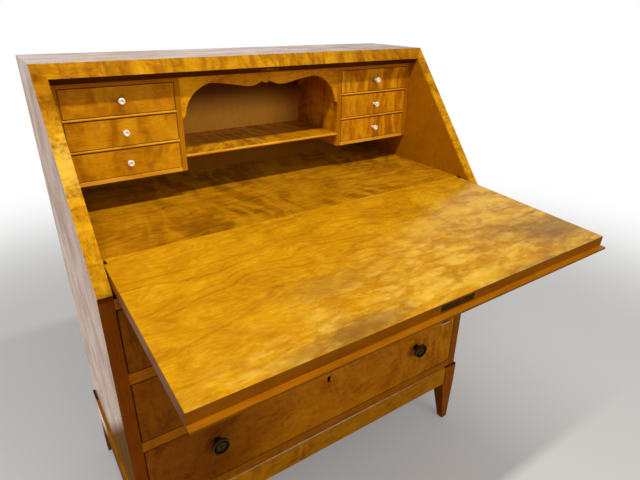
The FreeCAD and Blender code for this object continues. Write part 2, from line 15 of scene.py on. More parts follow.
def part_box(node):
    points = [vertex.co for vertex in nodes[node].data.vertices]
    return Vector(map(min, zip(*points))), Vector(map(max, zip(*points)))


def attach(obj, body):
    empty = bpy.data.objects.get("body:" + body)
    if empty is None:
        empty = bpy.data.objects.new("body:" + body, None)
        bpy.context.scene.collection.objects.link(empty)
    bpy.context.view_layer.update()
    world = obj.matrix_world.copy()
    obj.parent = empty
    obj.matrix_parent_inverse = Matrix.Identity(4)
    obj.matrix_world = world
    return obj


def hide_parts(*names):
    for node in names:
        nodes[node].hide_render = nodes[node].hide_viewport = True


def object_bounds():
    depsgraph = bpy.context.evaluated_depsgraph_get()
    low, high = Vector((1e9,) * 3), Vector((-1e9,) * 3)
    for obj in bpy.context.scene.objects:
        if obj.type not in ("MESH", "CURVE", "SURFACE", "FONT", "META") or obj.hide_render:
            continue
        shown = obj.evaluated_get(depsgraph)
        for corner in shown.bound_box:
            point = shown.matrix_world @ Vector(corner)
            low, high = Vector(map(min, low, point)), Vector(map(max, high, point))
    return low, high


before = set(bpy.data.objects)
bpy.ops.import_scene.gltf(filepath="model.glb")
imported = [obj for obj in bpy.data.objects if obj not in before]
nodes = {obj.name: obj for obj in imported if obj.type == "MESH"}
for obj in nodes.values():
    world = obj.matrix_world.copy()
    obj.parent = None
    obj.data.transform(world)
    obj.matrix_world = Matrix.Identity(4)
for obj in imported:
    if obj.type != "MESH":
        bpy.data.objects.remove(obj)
cad_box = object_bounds()
back_plane = cad_box[1][1]

# %% [markdown]
# ## Camera
# The place and the turn of the camera were solved from the straight edges of the case and of the
# fall. A camera in Blender looks along its own -Z with +Y up, so the turn is given as a matrix
# whose columns are the camera's right, its up and the way back from the object.

# %% Camera from a yaw, a pitch and a roll
eye = Vector((-0.5308, back_plane - 1.1829, 1.1453))
yaw, pitch, roll = (math.radians(angle) for angle in (34.41, 25.32, -0.79))
picture_width = 640
focal_pixels = 491.56
sensor_width = 36.0

forward = Vector((math.sin(yaw) * math.cos(pitch), math.cos(yaw) * math.cos(pitch), -math.sin(pitch)))
level_right = Vector((math.cos(yaw), -math.sin(yaw), 0.0))
level_down = forward.cross(level_right)
right = math.cos(roll) * level_right + math.sin(roll) * level_down
up = math.sin(roll) * level_right - math.cos(roll) * level_down

camera_data = bpy.data.cameras.new("camera")
camera_data.sensor_fit = "HORIZONTAL"
camera_data.sensor_width = sensor_width
camera_data.lens = focal_pixels / picture_width * sensor_width
camera = bpy.data.objects.new("camera", camera_data)
camera.matrix_world = Matrix.Translation(eye) @ Matrix((right, up, -forward)).transposed().to_4x4()
bpy.context.scene.collection.objects.link(camera)
bpy.context.scene.camera = camera
bpy.context.scene.view_settings.view_transform = "Standard"
print("camera: lens %.2f mm at %s" % (camera_data.lens, tuple(round(v, 3) for v in eye)))

# %% [markdown]
# ## Node helpers
# A material or a world in Blender is a small network of nodes. Four helpers keep the network
# readable: put adds a node and feeds its inputs, calc is one step of arithmetic, spread is a soft
# step from one range to another, and mix_colour blends two colours.

# %% Adding nodes
def put(tree, kind, inputs=None, **settings):
    """Adds a node. Settings are its own fields; inputs are values or other nodes' sockets."""
    made = tree.nodes.new(kind)
    for field, value in settings.items():
        setattr(made, field, value)
    for socket, value in (inputs or {}).items():
        if isinstance(value, bpy.types.NodeSocket):
            tree.links.new(value, made.inputs[socket])
        else:
            made.inputs[socket].default_value = value
    return made


def calc(tree, operation, *values):
    """One Math node on up to three values or sockets."""
    return put(tree, "ShaderNodeMath", dict(enumerate(values)), operation=operation).outputs[0]


def spread(tree, value, low, high, to_low=0.0, to_high=1.0):
    """Smooth step of a value from one range to another, held at the ends."""
    sockets = {"Value": value, "From Min": low, "From Max": high, "To Min": to_low, "To Max": to_high}
    return put(tree, "ShaderNodeMapRange", sockets, interpolation_type="SMOOTHSTEP").outputs[0]


def mix_colour(tree, factor, a, b, mode="MIX"):
    """Mix node on two colours or sockets."""
    made = put(tree, "ShaderNodeMix", {0: factor, 6: a, 7: b}, data_type="RGBA", blend_type=mode)
    return made.outputs[2]


print("helpers: put, calc, spread, mix_colour")

# %% [markdown]
# ## Light
# A long strip hangs over the front edge of the fall, left of the middle. It is narrow from front to
# back, so the top rail throws a clean shadow on the upper small drawers, and long from side to
# side, so the knobs throw almost none. A broad window low in front looks under the valance and
# lights the long drawers. Both light the wood but are kept out of the lacquer's mirror, which
# would haze the veneer. The world is a soft fill, brighter from the front. The camera sees it as
# plain white. Lacquer mirrors a pale haze low behind the bureau and little elsewhere, so mirror
# rays get a strength of their own, which grows to the back and fades upwards.

# %% Strip over the fall and window in front
def hang(name, place, target, sizes, watts, colour):
    """Rectangular light at a place, turned to a target; the first of its sizes lies level."""
    data = bpy.data.lights.new(name, "AREA")
    data.shape = "RECTANGLE"
    data.size, data.size_y = sizes
    data.energy = watts
    data.color = colour
    made = bpy.data.objects.new(name, data)
    aim = (place - target).to_track_quat("Z", "Y")
    made.matrix_world = Matrix.Translation(place) @ aim.to_matrix().to_4x4()
    made.visible_glossy = False
    bpy.context.scene.collection.objects.link(made)
    print(name + ":", watts, "W")


hang("strip_over_fall", Vector((-0.38, back_plane - 0.9516, 2.4)), Vector((-0.38, back_plane - 0.44, 0.8)),
     (1.5, 0.08), 26.0, (1.0, 0.97, 0.92))
hang("window_in_front", Vector((1.1, back_plane - 3.3, 1.5)), Vector((0.0, back_plane - 0.3, 0.7)),
     (1.4, 1.0), 15.0, (1.0, 0.97, 0.90))

# %% World with a pale haze behind
fill_back, fill_front = 0.20, 0.38
front_gloss = 0.03
white = (1.0, 1.0, 1.0, 1.0)
world = bpy.data.worlds.new("white_surround")
world.use_nodes = True
bpy.context.scene.world = world
sky = world.node_tree
sky.nodes.clear()
incoming = put(sky, "ShaderNodeNewGeometry").outputs["Incoming"]
towards = put(sky, "ShaderNodeSeparateXYZ", {0: incoming}).outputs
behind = spread(sky, towards["Y"], 0.10, -0.30)
rightward = spread(sky, towards["X"], -0.35, -0.85, 1.0, 0.62)
low_band = spread(sky, towards["Z"], -0.56, -0.38)
mirror = calc(sky, "MULTIPLY", calc(sky, "MULTIPLY", behind, rightward), low_band)
mirror = calc(sky, "MAXIMUM", mirror, front_gloss)
fill = spread(sky, towards["Y"], -0.3, 0.5, fill_back, fill_front)
rays = put(sky, "ShaderNodeLightPath").outputs
strength = put(sky, "ShaderNodeMix", {0: rays["Is Glossy Ray"], 2: fill, 3: mirror}).outputs[0]
strength = calc(sky, "MAXIMUM", strength, rays["Is Camera Ray"])
haze = mix_colour(sky, rays["Is Glossy Ray"], white, (1.0, 0.96, 0.91, 1.0))
surround = put(sky, "ShaderNodeBackground", {"Color": haze, "Strength": strength})
put(sky, "ShaderNodeOutputWorld", {"Surface": surround.outputs[0]})
print("world: fill from", fill_back, "to", fill_front)

# %% [markdown]
# ## Floor
# A wide level sheet under the feet takes the shadow. It is a grid of X by Y. Far from the bureau
# its colour turns into plain white, so no horizon shows. Behind the bureau mirror rays find a warm
# pale glow on it, which the lacquer of the left side mirrors. To light that bounces from it, the
# floor is brown, so the undersides of the boards stay warm.

# %% Grid for the floor
floor_reach = 9.0
floor_lines = 37


def fill_mesh(name, points, faces):
    """Smooth mesh object from an array of points and lists of corner numbers."""
    mesh = bpy.data.meshes.new(name)
    mesh.from_pydata(points.tolist(), [], faces)
    mesh.polygons.foreach_set("use_smooth", np.full(len(mesh.polygons), True))
    mesh.update()
    made = bpy.data.objects.new(name, mesh)
    bpy.context.scene.collection.objects.link(made)
    return made


def grid_faces(rows, columns):
    """Quads of a sheet of rows by columns, numbered row by row."""
    row = np.arange(rows - 1)[:, None] * columns
    step = np.arange(columns - 1)[None, :]
    corner = row + step
    return np.stack([corner, corner + 1, corner + columns + 1, corner + columns], axis=-1).reshape(-1, 4)


line = np.linspace(-floor_reach, floor_reach, floor_lines)
across, along = np.meshgrid(line, line)
sheet = np.stack([across, along, np.zeros_like(across)], axis=-1).reshape(-1, 3)
floor = fill_mesh("floor", sheet, grid_faces(floor_lines, floor_lines).tolist())
print("floor:", len(floor.data.polygons), "faces")

# %% Pale floor that fades to white
pale = bpy.data.materials.new("pale_floor")
pale.use_nodes = True
tree = pale.node_tree
tree.nodes.clear()
place = put(tree, "ShaderNodeTexCoord").outputs["Object"]
reach = put(tree, "ShaderNodeVectorMath", {0: place}, operation="LENGTH").outputs["Value"]
fade = spread(tree, reach, 0.9, 3.2)
behind = put(tree, "ShaderNodeSeparateXYZ", {0: place}).outputs["Y"]
behind = spread(tree, behind, back_plane + 0.02, back_plane + 0.10)
rays = put(tree, "ShaderNodeLightPath").outputs
seen = calc(tree, "MULTIPLY", spread(tree, fade, 0.0, 1.0, 0.15, 1.0), rays["Is Camera Ray"])
mirrored = calc(tree, "MULTIPLY", behind, rays["Is Glossy Ray"])
tint = mix_colour(tree, rays["Is Camera Ray"], (0.26, 0.20, 0.12, 1.0), (0.84, 0.83, 0.81, 1.0))
matt = put(tree, "ShaderNodeBsdfDiffuse", {"Color": tint})
warm = mix_colour(tree, rays["Is Glossy Ray"], white, (0.95, 0.80, 0.72, 1.0))
glow = put(tree, "ShaderNodeEmission", {"Color": warm, "Strength": 1.0})
far = put(tree, "ShaderNodeMixShader", {
    0: calc(tree, "MAXIMUM", seen, mirrored), 1: matt.outputs[0], 2: glow.outputs[0]})
put(tree, "ShaderNodeOutputMaterial", {"Surface": far.outputs[0]})
floor.data.materials.append(pale)
print("floor finish:", pale.name)

# %% [markdown]
# ## Flame birch
# The veneer is birch with a rolling grain. Fine fibres run along the board, growth lines flow
# beside them in slow curves, soft clouds and a small shimmer come and go, and flames lie across
# the fibres where the grain rolls. Each of these is one noise in a frame whose X runs along the
# grain and whose lines are bent by two slow drifts, one wide and one short, so the group
# below takes a place in that frame and gives back a colour, a gloss and a height. A picture of
# wood would be quicker, but a procedure has no seams and no end.

# %% Helpers for pattern
def stretched(tree, place, scales):
    """The place, scaled along each axis; a small scale draws a pattern out."""
    return put(tree, "ShaderNodeVectorMath", {0: place, 1: scales}, operation="MULTIPLY").outputs[0]


def noise(tree, place, scales, detail=2.0, roughness=0.5, distortion=0.0):
    """Noise with its own scale along each axis, about 0.5 in the middle."""
    sockets = {"Vector": stretched(tree, place, scales), "Scale": 1.0, "Detail": detail,
               "Roughness": roughness, "Distortion": distortion}
    return put(tree, "ShaderNodeTexNoise", sockets).outputs[0]


def weighed(tree, *pairs):
    """Sum of values, each less its middle and times its weight."""
    total = 0.0
    for value, middle, weight in pairs:
        part = calc(tree, "MULTIPLY", calc(tree, "SUBTRACT", value, middle), weight)
        total = calc(tree, "ADD", part, total)
    return total


def wandering(tree, place, scales, reach):
    """The place, moved by up to half a reach along each axis by a slow noise."""
    sockets = {"Vector": stretched(tree, place, scales), "Scale": 1.0, "Detail": 1.0}
    drift = put(tree, "ShaderNodeTexNoise", sockets).outputs["Color"]
    drift = put(tree, "ShaderNodeVectorMath", {0: drift, 1: (0.5, 0.5, 0.5)}, operation="SUBTRACT").outputs[0]
    drift = stretched(tree, drift, reach)
    return put(tree, "ShaderNodeVectorMath", {0: place, 1: drift}, operation="ADD").outputs[0]


print("helpers: stretched, noise, weighed, wandering")

# %% The veneer as one node group
group_inputs = (
    ("Place", "NodeSocketVector", (0.0, 0.0, 0.0)), ("Deep", "NodeSocketColor", (0.5, 0.2, 0.01, 1.0)),
    ("Gold", "NodeSocketColor", (0.7, 0.3, 0.01, 1.0)), ("Bright", "NodeSocketColor", (0.9, 0.5, 0.03, 1.0)),
    ("Flame", "NodeSocketFloat", 0.4), ("Pitch", "NodeSocketFloat", 24.0),
    ("Cloud", "NodeSocketFloat", 0.4), ("Lines", "NodeSocketFloat", 0.5),
)
group_outputs = (
    ("Colour", "NodeSocketColor"), ("Roughness", "NodeSocketFloat"), ("Height", "NodeSocketFloat"),
)


def veneer_group():
    """Group: place in the grain's frame, colours and weights in; colour, roughness, height out."""
    group = bpy.data.node_groups.new("flame_birch", "ShaderNodeTree")
    for name, kind, default in group_inputs:
        group.interface.new_socket(name, in_out="INPUT", socket_type=kind).default_value = default
    for name, kind in group_outputs:
        group.interface.new_socket(name, in_out="OUTPUT", socket_type=kind)
    given = put(group, "NodeGroupInput").outputs
    place = given["Place"]

    slow = wandering(group, place, (2.6, 5.5, 5.5), (0.12, 0.07, 0.07))
    warped = wandering(group, slow, (10.0, 17.0, 17.0), (0.055, 0.050, 0.050))

    rolled = put(group, "ShaderNodeVectorMath", {
        0: stretched(group, slow, (1.0, 0.22, 0.22)), "Scale": given["Pitch"]}, operation="SCALE").outputs[0]
    flame = spread(group, noise(group, rolled, (1.0, 1.0, 1.0), 2.5, 0.5, 0.5), 0.36, 0.64)
    patch = spread(group, noise(group, place, (3.1, 5.2, 5.2), 1.0), 0.36, 0.64, 0.25, 1.0)
    flame = calc(group, "MULTIPLY", calc(group, "SUBTRACT", flame, 0.60), patch)
    cloud = spread(group, noise(group, warped, (10.0, 17.0, 17.0), 4.0, 0.58), 0.30, 0.70)
    shimmer = noise(group, warped, (46.0, 100.0, 100.0), 3.0, 0.6, 0.8)
    fibre = noise(group, warped, (30.0, 200.0, 200.0), 3.0, 0.68)
    hair = noise(group, warped, (60.0, 640.0, 640.0), 1.0)
    flow = put(group, "ShaderNodeSeparateXYZ", {0: warped}).outputs
    rings = calc(group, "MULTIPLY", calc(group, "ADD", flow["Y"], flow["Z"]), 40.0)
    rings = calc(group, "ADD", rings, calc(group, "MULTIPLY", noise(group, warped, (2.4, 9.0, 9.0)), 11.0))
    line = spread(group, calc(group, "PINGPONG", rings, 1.0), 0.66, 1.0)
    fleck_and_painted_sheen = spread(group, noise(group, place, (55.0, 420.0, 420.0), 1.0), 0.70, 0.80)

    tone = weighed(group, (flame, 0.0, given["Flame"]), (cloud, 0.5, given["Cloud"]), (fibre, 0.5, 0.9),
                   (shimmer, 0.5, calc(group, "MULTIPLY", given["Cloud"], 2.2)), (hair, 0.5, 0.6),
                   (calc(group, "MULTIPLY", line, given["Lines"]), 0.10, -0.50))
    dark = put(group, "ShaderNodeClamp", {0: calc(group, "MULTIPLY", tone, -1.6)}).outputs[0]
    lit = put(group, "ShaderNodeClamp", {0: calc(group, "MULTIPLY", tone, 1.6)}).outputs[0]
    colour = mix_colour(group, lit, mix_colour(group, dark, given["Gold"], given["Deep"]), given["Bright"])
    colour = mix_colour(group, calc(group, "MULTIPLY", fleck_and_painted_sheen, 0.30), colour, given["Deep"])
    smudge = noise(group, place, (9.0, 13.0, 13.0), 4.0, 0.65)
    rough = spread(group, smudge, 0.32, 0.70, 0.14, 0.27)
    height = weighed(group, (fibre, 0.0, 0.7), (hair, 0.0, 0.3), (fleck_and_painted_sheen, 0.0, -0.5))
    put(group, "NodeGroupOutput", {"Colour": colour, "Roughness": rough, "Height": height})
    return group


veneer = veneer_group()
print("veneer:", len(veneer.nodes), "nodes")

# %% [markdown]
# ## Boards and their grain
# A joiner chooses how the grain runs in each board: along the rails and drawer fronts, up the
# sides and legs, and up the slope in the lippings. The turn into the grain's frame is a matrix
# whose rows are the board's length, its width and its thickness. Each board is also shifted to
# its own place in the pattern, so no two boards look cut from the same spot.

# %% One finish for a board
across_x, up_z, back_y = Vector((1, 0, 0)), Vector((0, 0, 1)), Vector((0, 1, 0))
tones = {
    "fall": ((0.43, 0.160, 0.003, 1.0), (0.65, 0.280, 0.003, 1.0), (0.86, 0.45, 0.010, 1.0)),
    "board": ((0.27, 0.095, 0.002, 1.0), (0.48, 0.192, 0.003, 1.0), (0.64, 0.29, 0.005, 1.0)),
    "flame": ((0.36, 0.108, 0.002, 1.0), (0.68, 0.272, 0.003, 1.0), (0.84, 0.40, 0.008, 1.0)),
    "dark": ((0.27, 0.070, 0.002, 1.0), (0.50, 0.150, 0.002, 1.0), (0.62, 0.225, 0.004, 1.0)),
    "red": ((0.24, 0.055, 0.002, 1.0), (0.44, 0.115, 0.002, 1.0), (0.55, 0.170, 0.004, 1.0)),
    "plain": ((0.36, 0.20, 0.060, 1.0), (0.52, 0.31, 0.105, 1.0), (0.62, 0.40, 0.160, 1.0)),
    "tan": ((0.78, 0.34, 0.035, 1.0), (0.93, 0.44, 0.050, 1.0), (0.96, 0.52, 0.075, 1.0)),
    "top": ((0.20, 0.080, 0.020, 1.0), (0.32, 0.130, 0.035, 1.0), (0.42, 0.190, 0.055, 1.0)),
    "rail": ((0.30, 0.100, 0.002, 1.0), (0.55, 0.225, 0.003, 1.0), (0.72, 0.34, 0.006, 1.0)),
}
lacquer_index = 1.3
dressed = []


def wood(node, tone, length, width, flame=0.4, pitch=24.0, cloud=0.4, lines=0.5, touches=(),
         index=lacquer_index, relief=0.08):
    """Lacquered veneer on one packed board; each touch changes its colour and its roughness."""
    made = bpy.data.materials.new(node + "_veneer")
    made.use_nodes = True
    tree = made.node_tree
    tree.nodes.clear()
    here = put(tree, "ShaderNodeTexCoord").outputs["Object"]
    turn = Matrix((length, width, length.cross(width))).to_euler()
    seed = len(dressed)
    shift = (seed * 1.71, seed * 0.93, seed * 2.37)
    place = put(tree, "ShaderNodeMapping", {"Vector": here, "Rotation": turn, "Location": shift}).outputs[0]
    deep, gold, bright = tones[tone]
    figure = put(tree, "ShaderNodeGroup", {
        "Place": place, "Deep": deep, "Gold": gold, "Bright": bright, "Flame": flame, "Pitch": pitch,
        "Cloud": cloud, "Lines": lines}, node_tree=veneer).outputs
    colour, rough = figure["Colour"], figure["Roughness"]
    for touch in touches:
        colour, rough = touch(tree, here, colour, rough)
    bump = put(tree, "ShaderNodeBump", {"Height": figure["Height"], "Strength": relief, "Distance": 0.0004})
    skin = put(tree, "ShaderNodeBsdfPrincipled", {
        "Base Color": colour, "Roughness": rough, "Normal": bump.outputs[0], "IOR": index})
    put(tree, "ShaderNodeOutputMaterial", {"Surface": skin.outputs[0]})
    nodes[node].data.materials.clear()
    nodes[node].data.materials.append(made)
    dressed.append(node)


print("tones:", ", ".join(tones))

# %% [markdown]
# ## Touches
# A touch changes a board in one place only. A plane parts the solid edge of a board from its
# veneer, or the front of a small drawer from its plain sides. A soft ellipse with a ragged edge
# makes a stain, and also painted highlights, a painted reflection and a painted glint. Blotches and
# tints come in along a direction, and some tints are painted light or shade. A black box and dark
# lines along the edges of a front are painted shade. All of them read the place on the board
# itself, so they travel with a moving board.

# %% Edges, stains and patches
def farthest(node, direction):
    """Greatest distance of a node's corners along a direction."""
    mesh = nodes[node].data
    flat = np.empty(len(mesh.vertices) * 3)
    mesh.vertices.foreach_get("co", flat)
    return float((flat.reshape(-1, 3) @ np.array(direction)).max())


def beyond(tree, here, direction, edge, soft=0.0002):
    """1 where a place lies past a plane: its distance along the direction against the edge."""
    along = put(tree, "ShaderNodeVectorMath", {0: here, 1: direction}, operation="DOT_PRODUCT")
    return spread(tree, along.outputs["Value"], edge - soft, edge + soft)


def edged(node, direction, depth, tone, grain=(18.0, 420.0, 420.0), matt=0.0):
    """Touch: within a depth of the farthest face the board turns to another wood, with streaks, and is
    rougher by matt."""
    edge = farthest(node, direction) - depth

    def touch(tree, here, colour, rough):
        deep, gold, bright = tones[tone]
        streak = spread(tree, noise(tree, here, grain, 3.0, 0.62), 0.28, 0.72)
        wave = spread(tree, noise(tree, here, (14.0, 14.0, 14.0), 2.0), 0.3, 0.7)
        other = mix_colour(tree, calc(tree, "MULTIPLY", streak, 0.75), gold, deep)
        other = mix_colour(tree, calc(tree, "MULTIPLY", wave, 0.45), other, bright)
        part = beyond(tree, here, direction, edge)
        return mix_colour(tree, part, colour, other), calc(tree, "MULTIPLY_ADD", part, matt, rough)

    return touch


def spotted(spots, raggedness=0.9, grain=(38.0, 60.0, 60.0)):
    """Touch: soft spots, each a centre, a reach along each axis, a colour and a strength."""
    def touch(tree, here, colour, rough):
        ragged = calc(tree, "SUBTRACT", noise(tree, here, grain, 4.0, 0.65), 0.5)
        ragged = calc(tree, "MULTIPLY", ragged, raggedness)
        for centre, reach, shade, strength in spots:
            off = put(tree, "ShaderNodeVectorMath", {0: here, 1: centre}, operation="SUBTRACT").outputs[0]
            off = stretched(tree, off, tuple(1.0 / value for value in reach))
            near = put(tree, "ShaderNodeVectorMath", {0: off}, operation="LENGTH").outputs["Value"]
            near = calc(tree, "ADD", near, ragged)
            mask = calc(tree, "MULTIPLY", spread(tree, near, 1.15, 0.15), strength)
            colour = mix_colour(tree, mask, colour, shade)
        return colour, rough

    return touch


def blotched(direction, start, full, scales, shade, strength):
    """Touch: blotches of a shade that come in along a direction, from none at the start."""
    def touch(tree, here, colour, rough):
        blot = spread(tree, noise(tree, here, scales, 3.5, 0.58, 0.3), 0.46, 0.68)
        grown = beyond(tree, here, direction, (start + full) / 2, (full - start) / 2)
        mask = calc(tree, "MULTIPLY", calc(tree, "MULTIPLY", blot, grown), strength)
        return mix_colour(tree, mask, colour, shade), rough

    return touch


def tinted(direction, start, full, tint):
    """Touch: the colour is multiplied by a tint that comes in along a direction."""
    def touch(tree, here, colour, rough):
        grown = beyond(tree, here, direction, (start + full) / 2, (full - start) / 2)
        return mix_colour(tree, grown, colour, tint, "MULTIPLY"), rough

    return touch


def keyhole_shade(low, high):
    """Touch: black inside a box, painted shade for the walls of a keyhole."""
    def touch(tree, here, colour, rough):
        inside = 1.0
        for axis, face in ((across_x, 0), (back_y, 1), (up_z, 2)):
            past_low = beyond(tree, here, axis, low[face])
            before_high = beyond(tree, here, -axis, -high[face])
            inside = calc(tree, "MULTIPLY", calc(tree, "MULTIPLY", past_low, before_high), inside)
        return mix_colour(tree, inside, colour, (0.006, 0.004, 0.003, 1.0)), rough

    return touch


def gap_shaded(low, high, width, shade=(0.030, 0.012, 0.002, 1.0)):
    """Touch: a dark line of painted shade along the four edges of a front, where the gap around it lies in
    shadow.
    """
    def touch(tree, here, colour, rough):
        gap_shade = 0.0
        for axis, face in ((across_x, 0), (up_z, 2)):
            for way, edge in ((axis, high[face]), (-axis, -low[face])):
                gap_shade = calc(tree, "MAXIMUM", beyond(tree, here, way, edge - width / 2, width / 2), gap_shade)
        return mix_colour(tree, gap_shade, colour, shade), rough

    return touch


print("touches: edged, spotted, blotched, tinted, sooted, outlined")

# %% [markdown]
# ## Fall and writing board
# The fall is the showpiece: pale gold, with fine long fibres. Towards the front and the right its
# figure turns cloudy, with broad pale clouds, some browner ones and small pale flecks. Old stains
# lie near the front edge and at the right corner. Each is a soft ellipse on the inner face, so
# shallow that it does not show outside when the fall is closed. The edges and the lip are solid
# and redder. The writing board behind the fall is darker, with brown flames. Under the gallery,
# in its shadow, it gets painted light: a brighter, yellower strip.

# %% Stains on the fall
case_depth = 0.454
case_front = back_plane - case_depth
fall_height = 0.7628
droop = math.radians(3.0)
stain = (0.26, 0.115, 0.022, 1.0)
stain_depth = 0.011


def on_fall(x, out):
    """Place on the inner face of the open fall: the farther out from the front of the case, the lower,
    by the distance times the tangent of the droop."""
    return (x, case_front - out, fall_height - out * math.tan(droop))


# place across, distance out, reach across, reach out, strength
stains = [
    (0.360, 0.245, 0.115, 0.070, 0.75), (0.270, 0.195, 0.120, 0.045, 0.35),
    (-0.155, 0.300, 0.105, 0.034, 0.75), (-0.240, 0.308, 0.090, 0.020, 0.45),
    (0.190, 0.316, 0.150, 0.013, 0.50), (-0.150, 0.190, 0.100, 0.045, 0.35),
]
fall_spots = [(on_fall(x, out), (wide, deep, stain_depth), stain, strength)
              for x, out, wide, deep, strength in stains]
print("stains:", len(fall_spots))

# %% Fall
fall_front = Vector((0.0, -math.cos(droop), -math.sin(droop)))
solid_edge = 0.0114
skin_depth = 0.0008
cloud_way = Vector((0.357, -0.934, 0.0))
cloud_start = 0.07 + case_front * cloud_way.y
cloudy = (cloud_way, cloud_start, cloud_start + 0.15)
tones["lip"] = ((0.22, 0.060, 0.001, 1.0), (0.38, 0.120, 0.002, 1.0), (0.50, 0.17, 0.003, 1.0))
wood("fall_panel", "fall", across_x, back_y, flame=0.20, pitch=34.0, cloud=0.40, lines=0.55, touches=[
    blotched(*cloudy, (11.0, 22.0, 22.0), (0.97, 0.58, 0.05, 1.0), 0.66),
    blotched(*cloudy, (19.0, 38.0, 38.0), (0.42, 0.185, 0.012, 1.0), 0.35),
    blotched(*cloudy, (26.0, 62.0, 62.0), (0.98, 0.64, 0.10, 1.0), 0.52),
    spotted(fall_spots, 1.2, (55.0, 80.0, 80.0)),
    edged("fall_panel", -across_x, skin_depth, "lip", matt=0.3),
    edged("fall_panel", across_x, skin_depth, "lip", matt=0.3),
    edged("fall_panel", fall_front, solid_edge, "lip")])
print("dressed:", ", ".join(dressed))

# %% Writing board
gallery_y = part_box("gallery_partitions")[0][1]
# painted light: behind the front of the gallery, in its shadow, the board is brighter and yellower
painted_fill_under_gallery = (back_y, gallery_y + 0.03, gallery_y + 0.08)
wood("writing_board", "board", across_x, back_y, flame=0.85, pitch=34.0, cloud=0.50, lines=0.6, touches=[
    blotched(across_x, -0.10, 0.20, (22.0, 60.0, 60.0), (0.76, 0.35, 0.006, 1.0), 0.60),
    tinted(*painted_fill_under_gallery, (1.20, 1.60, 1.4, 1.0))])
print("dressed:", ", ".join(dressed))

# %% [markdown]
# ## Case
# The lippings and the top rail are cut from flame veneer with bands across the grain, mitred at
# the corners. The bands are dark blotches, drawn out across the board by their scales. The top
# rail has painted shade towards its right and on its near-black underside. The left lipping is
# darker at its head, and a painted highlight, a bright patch, lies near its middle. The sides and
# the top are redder. Inside, the back is a plain tan board with painted shade under the valance
# and below the shelf, and its rear is bare wood.

# %% Rail, lippings and sides
slope = Vector((0.0, 255.0, 317.0)).normalized()
front_y = Vector((0, -1, 0))
upright_streaks = (420.0, 420.0, 18.0)
# both places lie left of the bureau, so these blotches are full on all of it
everywhere = (across_x, -0.9, -0.6)
# the lower face of the top rail gets a near-black tone: painted shade
tones["under"] = ((0.03, 0.006, 0.001, 1.0), (0.06, 0.012, 0.001, 1.0), (0.10, 0.022, 0.001, 1.0))
tones["upright"] = ((0.18, 0.036, 0.001, 1.0), (0.29, 0.062, 0.001, 1.0), (0.37, 0.092, 0.002, 1.0))
tones["upright_right"] = ((0.27, 0.070, 0.001, 1.0), (0.42, 0.125, 0.002, 1.0), (0.50, 0.17, 0.003, 1.0))
tones["side"] = ((0.31, 0.100, 0.002, 1.0), (0.45, 0.165, 0.002, 1.0), (0.55, 0.23, 0.004, 1.0))
tones["lipping"] = ((0.36, 0.118, 0.002, 1.0), (0.69, 0.305, 0.003, 1.0), (0.86, 0.43, 0.008, 1.0))
mottle = (0.30, 0.105, 0.002, 1.0)
wood("top_rail", "rail", across_x, slope, flame=0.95, pitch=34.0, cloud=0.5, lines=0.2, touches=[
    blotched(*everywhere, (75.0, 18.0, 18.0), mottle, 0.75),
    # painted shade: the rail darkens towards the right, where less of the strip's light falls
    tinted(across_x, 0.0, 0.45, (0.78, 0.70, 0.5, 1.0)),
    # painted shade on the underside of the rail
    edged("top_rail", -slope, skin_depth, "under", matt=0.4)])
for side, upright in (("left", "upright"), ("right", "upright_right")):
    lipping = "slant_lipping_" + side
    touches = [blotched(*everywhere, (30.0, 60.0, 60.0), mottle, 0.55)]
    if side == "left":
        low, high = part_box(lipping)
        # painted highlight: a bright patch near the middle of the left lipping stands in for the sheen of its
        # figure
        near_middle = tuple(low + (high - low) * 0.54)
        fleck_and_painted_sheen = (near_middle, (0.05, 0.055, 0.065), (0.97, 0.64, 0.08, 1.0), 0.60)
        touches.append(tinted(up_z, 0.95, 1.0, (0.60, 0.51, 0.35, 1.0)))
        touches.append(spotted([fleck_and_painted_sheen], 2.6, (110.0, 150.0, 150.0)))
    wood(lipping, "lipping", slope, across_x, flame=0.60, pitch=44.0, cloud=0.55, lines=0.2, touches=touches)
    wood("side_" + side, "side", up_z, back_y, flame=0.25, pitch=30.0, cloud=0.2, lines=0.15, touches=[
        edged("side_" + side, front_y, skin_depth, upright, upright_streaks)], index=1.2, relief=0.02)
print("dressed:", len(dressed), "boards")

# %% Top, back and inner boards
# painted shade on the back panel: darker under the valance and below the shelf
under_valance = (up_z, 0.885, 0.965)
painted_shade_below_shelf = (-up_z, -0.862, -0.85)
rear_skin = 0.002
wood("top_panel", "top", across_x, back_y, flame=0.4, cloud=0.3, index=1.5)
wood("back_panel", "tan", up_z, across_x, flame=0.1, cloud=0.2, lines=0.3, touches=[
    tinted(*under_valance, (0.16, 0.09, 0.04, 1.0)),
    tinted(*painted_shade_below_shelf, (0.35, 0.27, 0.15, 1.0)),
    edged("back_panel", back_y, rear_skin, "plain", upright_streaks, matt=0.3)])
for rail in ("fall_rail", "drawer_rail_upper", "drawer_rail_lower", "bottom_board"):
    wood(rail, "dark", across_x, up_z, flame=0.25, cloud=0.25, lines=0.4)
wood("drawer_runners", "plain", back_y, across_x, flame=0.1)
wood("drawer_stops", "plain", across_x, back_y, flame=0.1)
print("dressed:", len(dressed), "boards")

# %% [markdown]
# ## Base
# The base is a frame of aprons between four tapered legs. The aprons have a figured veneer and the
# legs are solid and redder. Painted shade darkens the top of the legs, where the case sits on
# them, and a painted reflection runs pale along the upper edge of the front apron. That line is one
# very flat spot.

# %% Base
tones["apron"] = ((0.34, 0.110, 0.002, 1.0), (0.62, 0.230, 0.003, 1.0), (0.80, 0.34, 0.006, 1.0))
